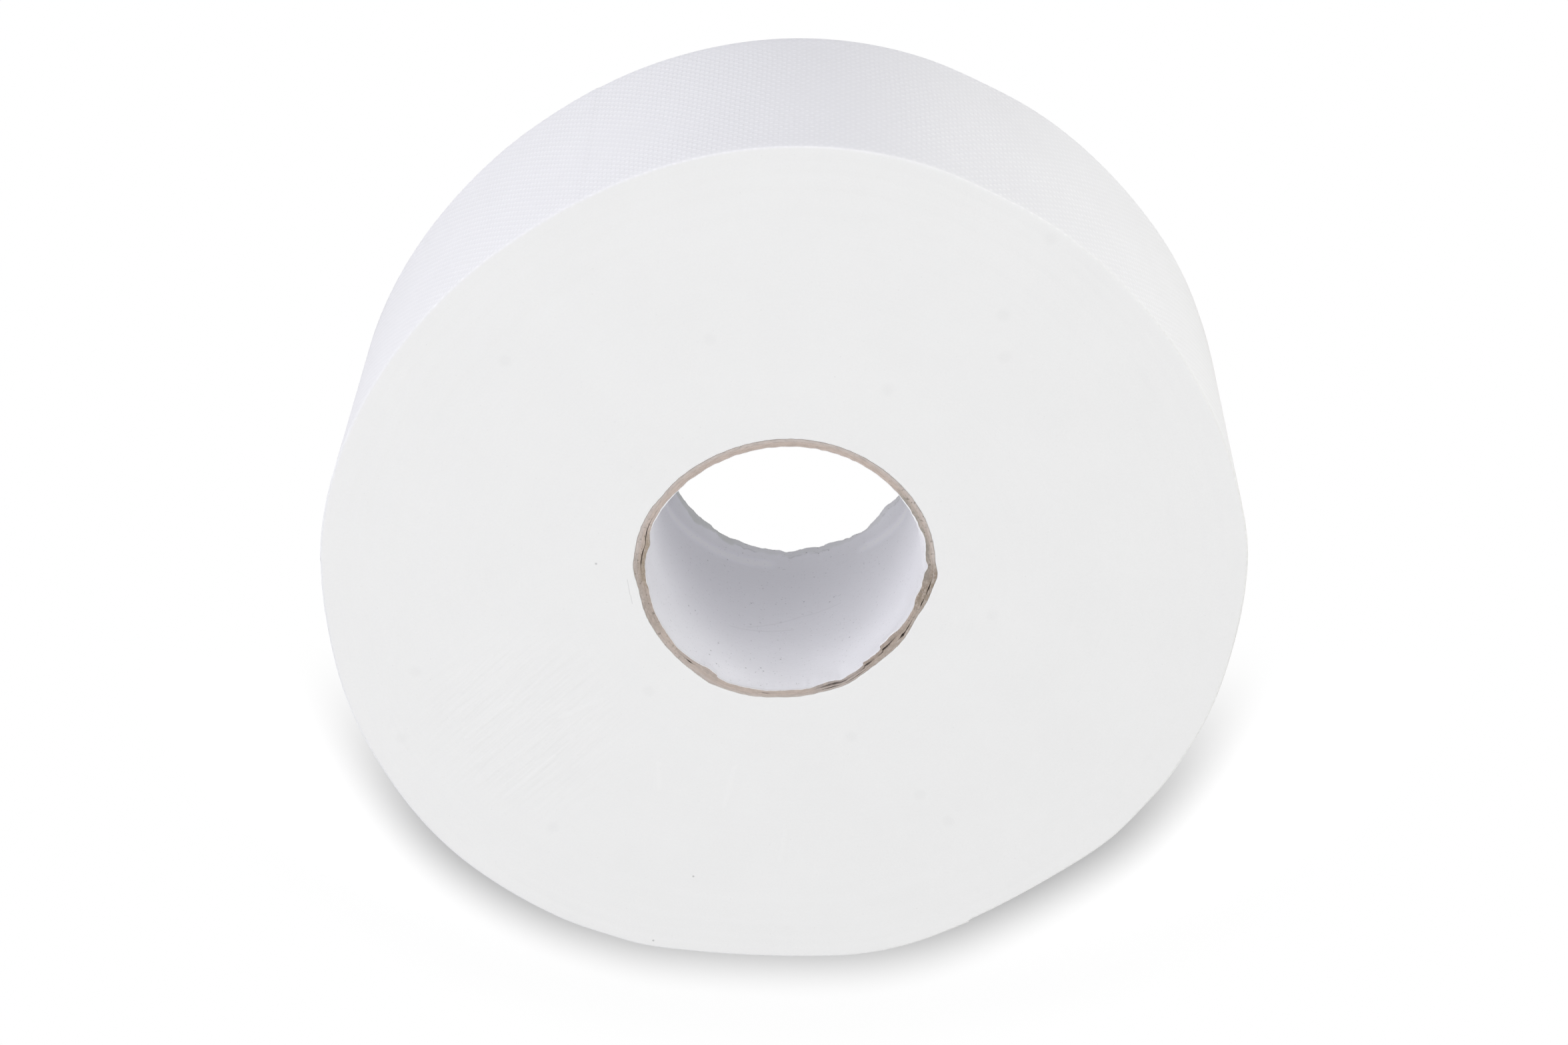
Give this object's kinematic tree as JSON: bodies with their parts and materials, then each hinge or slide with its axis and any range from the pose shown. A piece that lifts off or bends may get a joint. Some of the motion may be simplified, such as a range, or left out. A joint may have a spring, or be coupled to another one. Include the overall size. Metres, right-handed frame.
{
  "type": "toilet paper roll",
  "caption": "Wide jumbo roll of white embossed two-ply tissue, wound on a spiral-wound paperboard core with an open bore for a dispenser spindle.",
  "frame": {"origin": "centre of the core's bore, on the lower flat end that the roll stands on", "axes": "+Z along the core's axis, up to the other flat end; the small flat spot of the curved side faces +Y"},
  "size_m": [0.2575, 0.2507, 0.09],
  "materials": {
    "tissue": "matte",
    "core_board": "matte",
    "core_liner": "matte"
  },
  "bodies": {
    "root": {"tissue_roll": "tissue", "core_outer_ply": "core_board", "core_middle_ply": "core_board", "core_inner_ply": "core_board", "core_liner": "core_liner"}
  },
  "joints": []
}
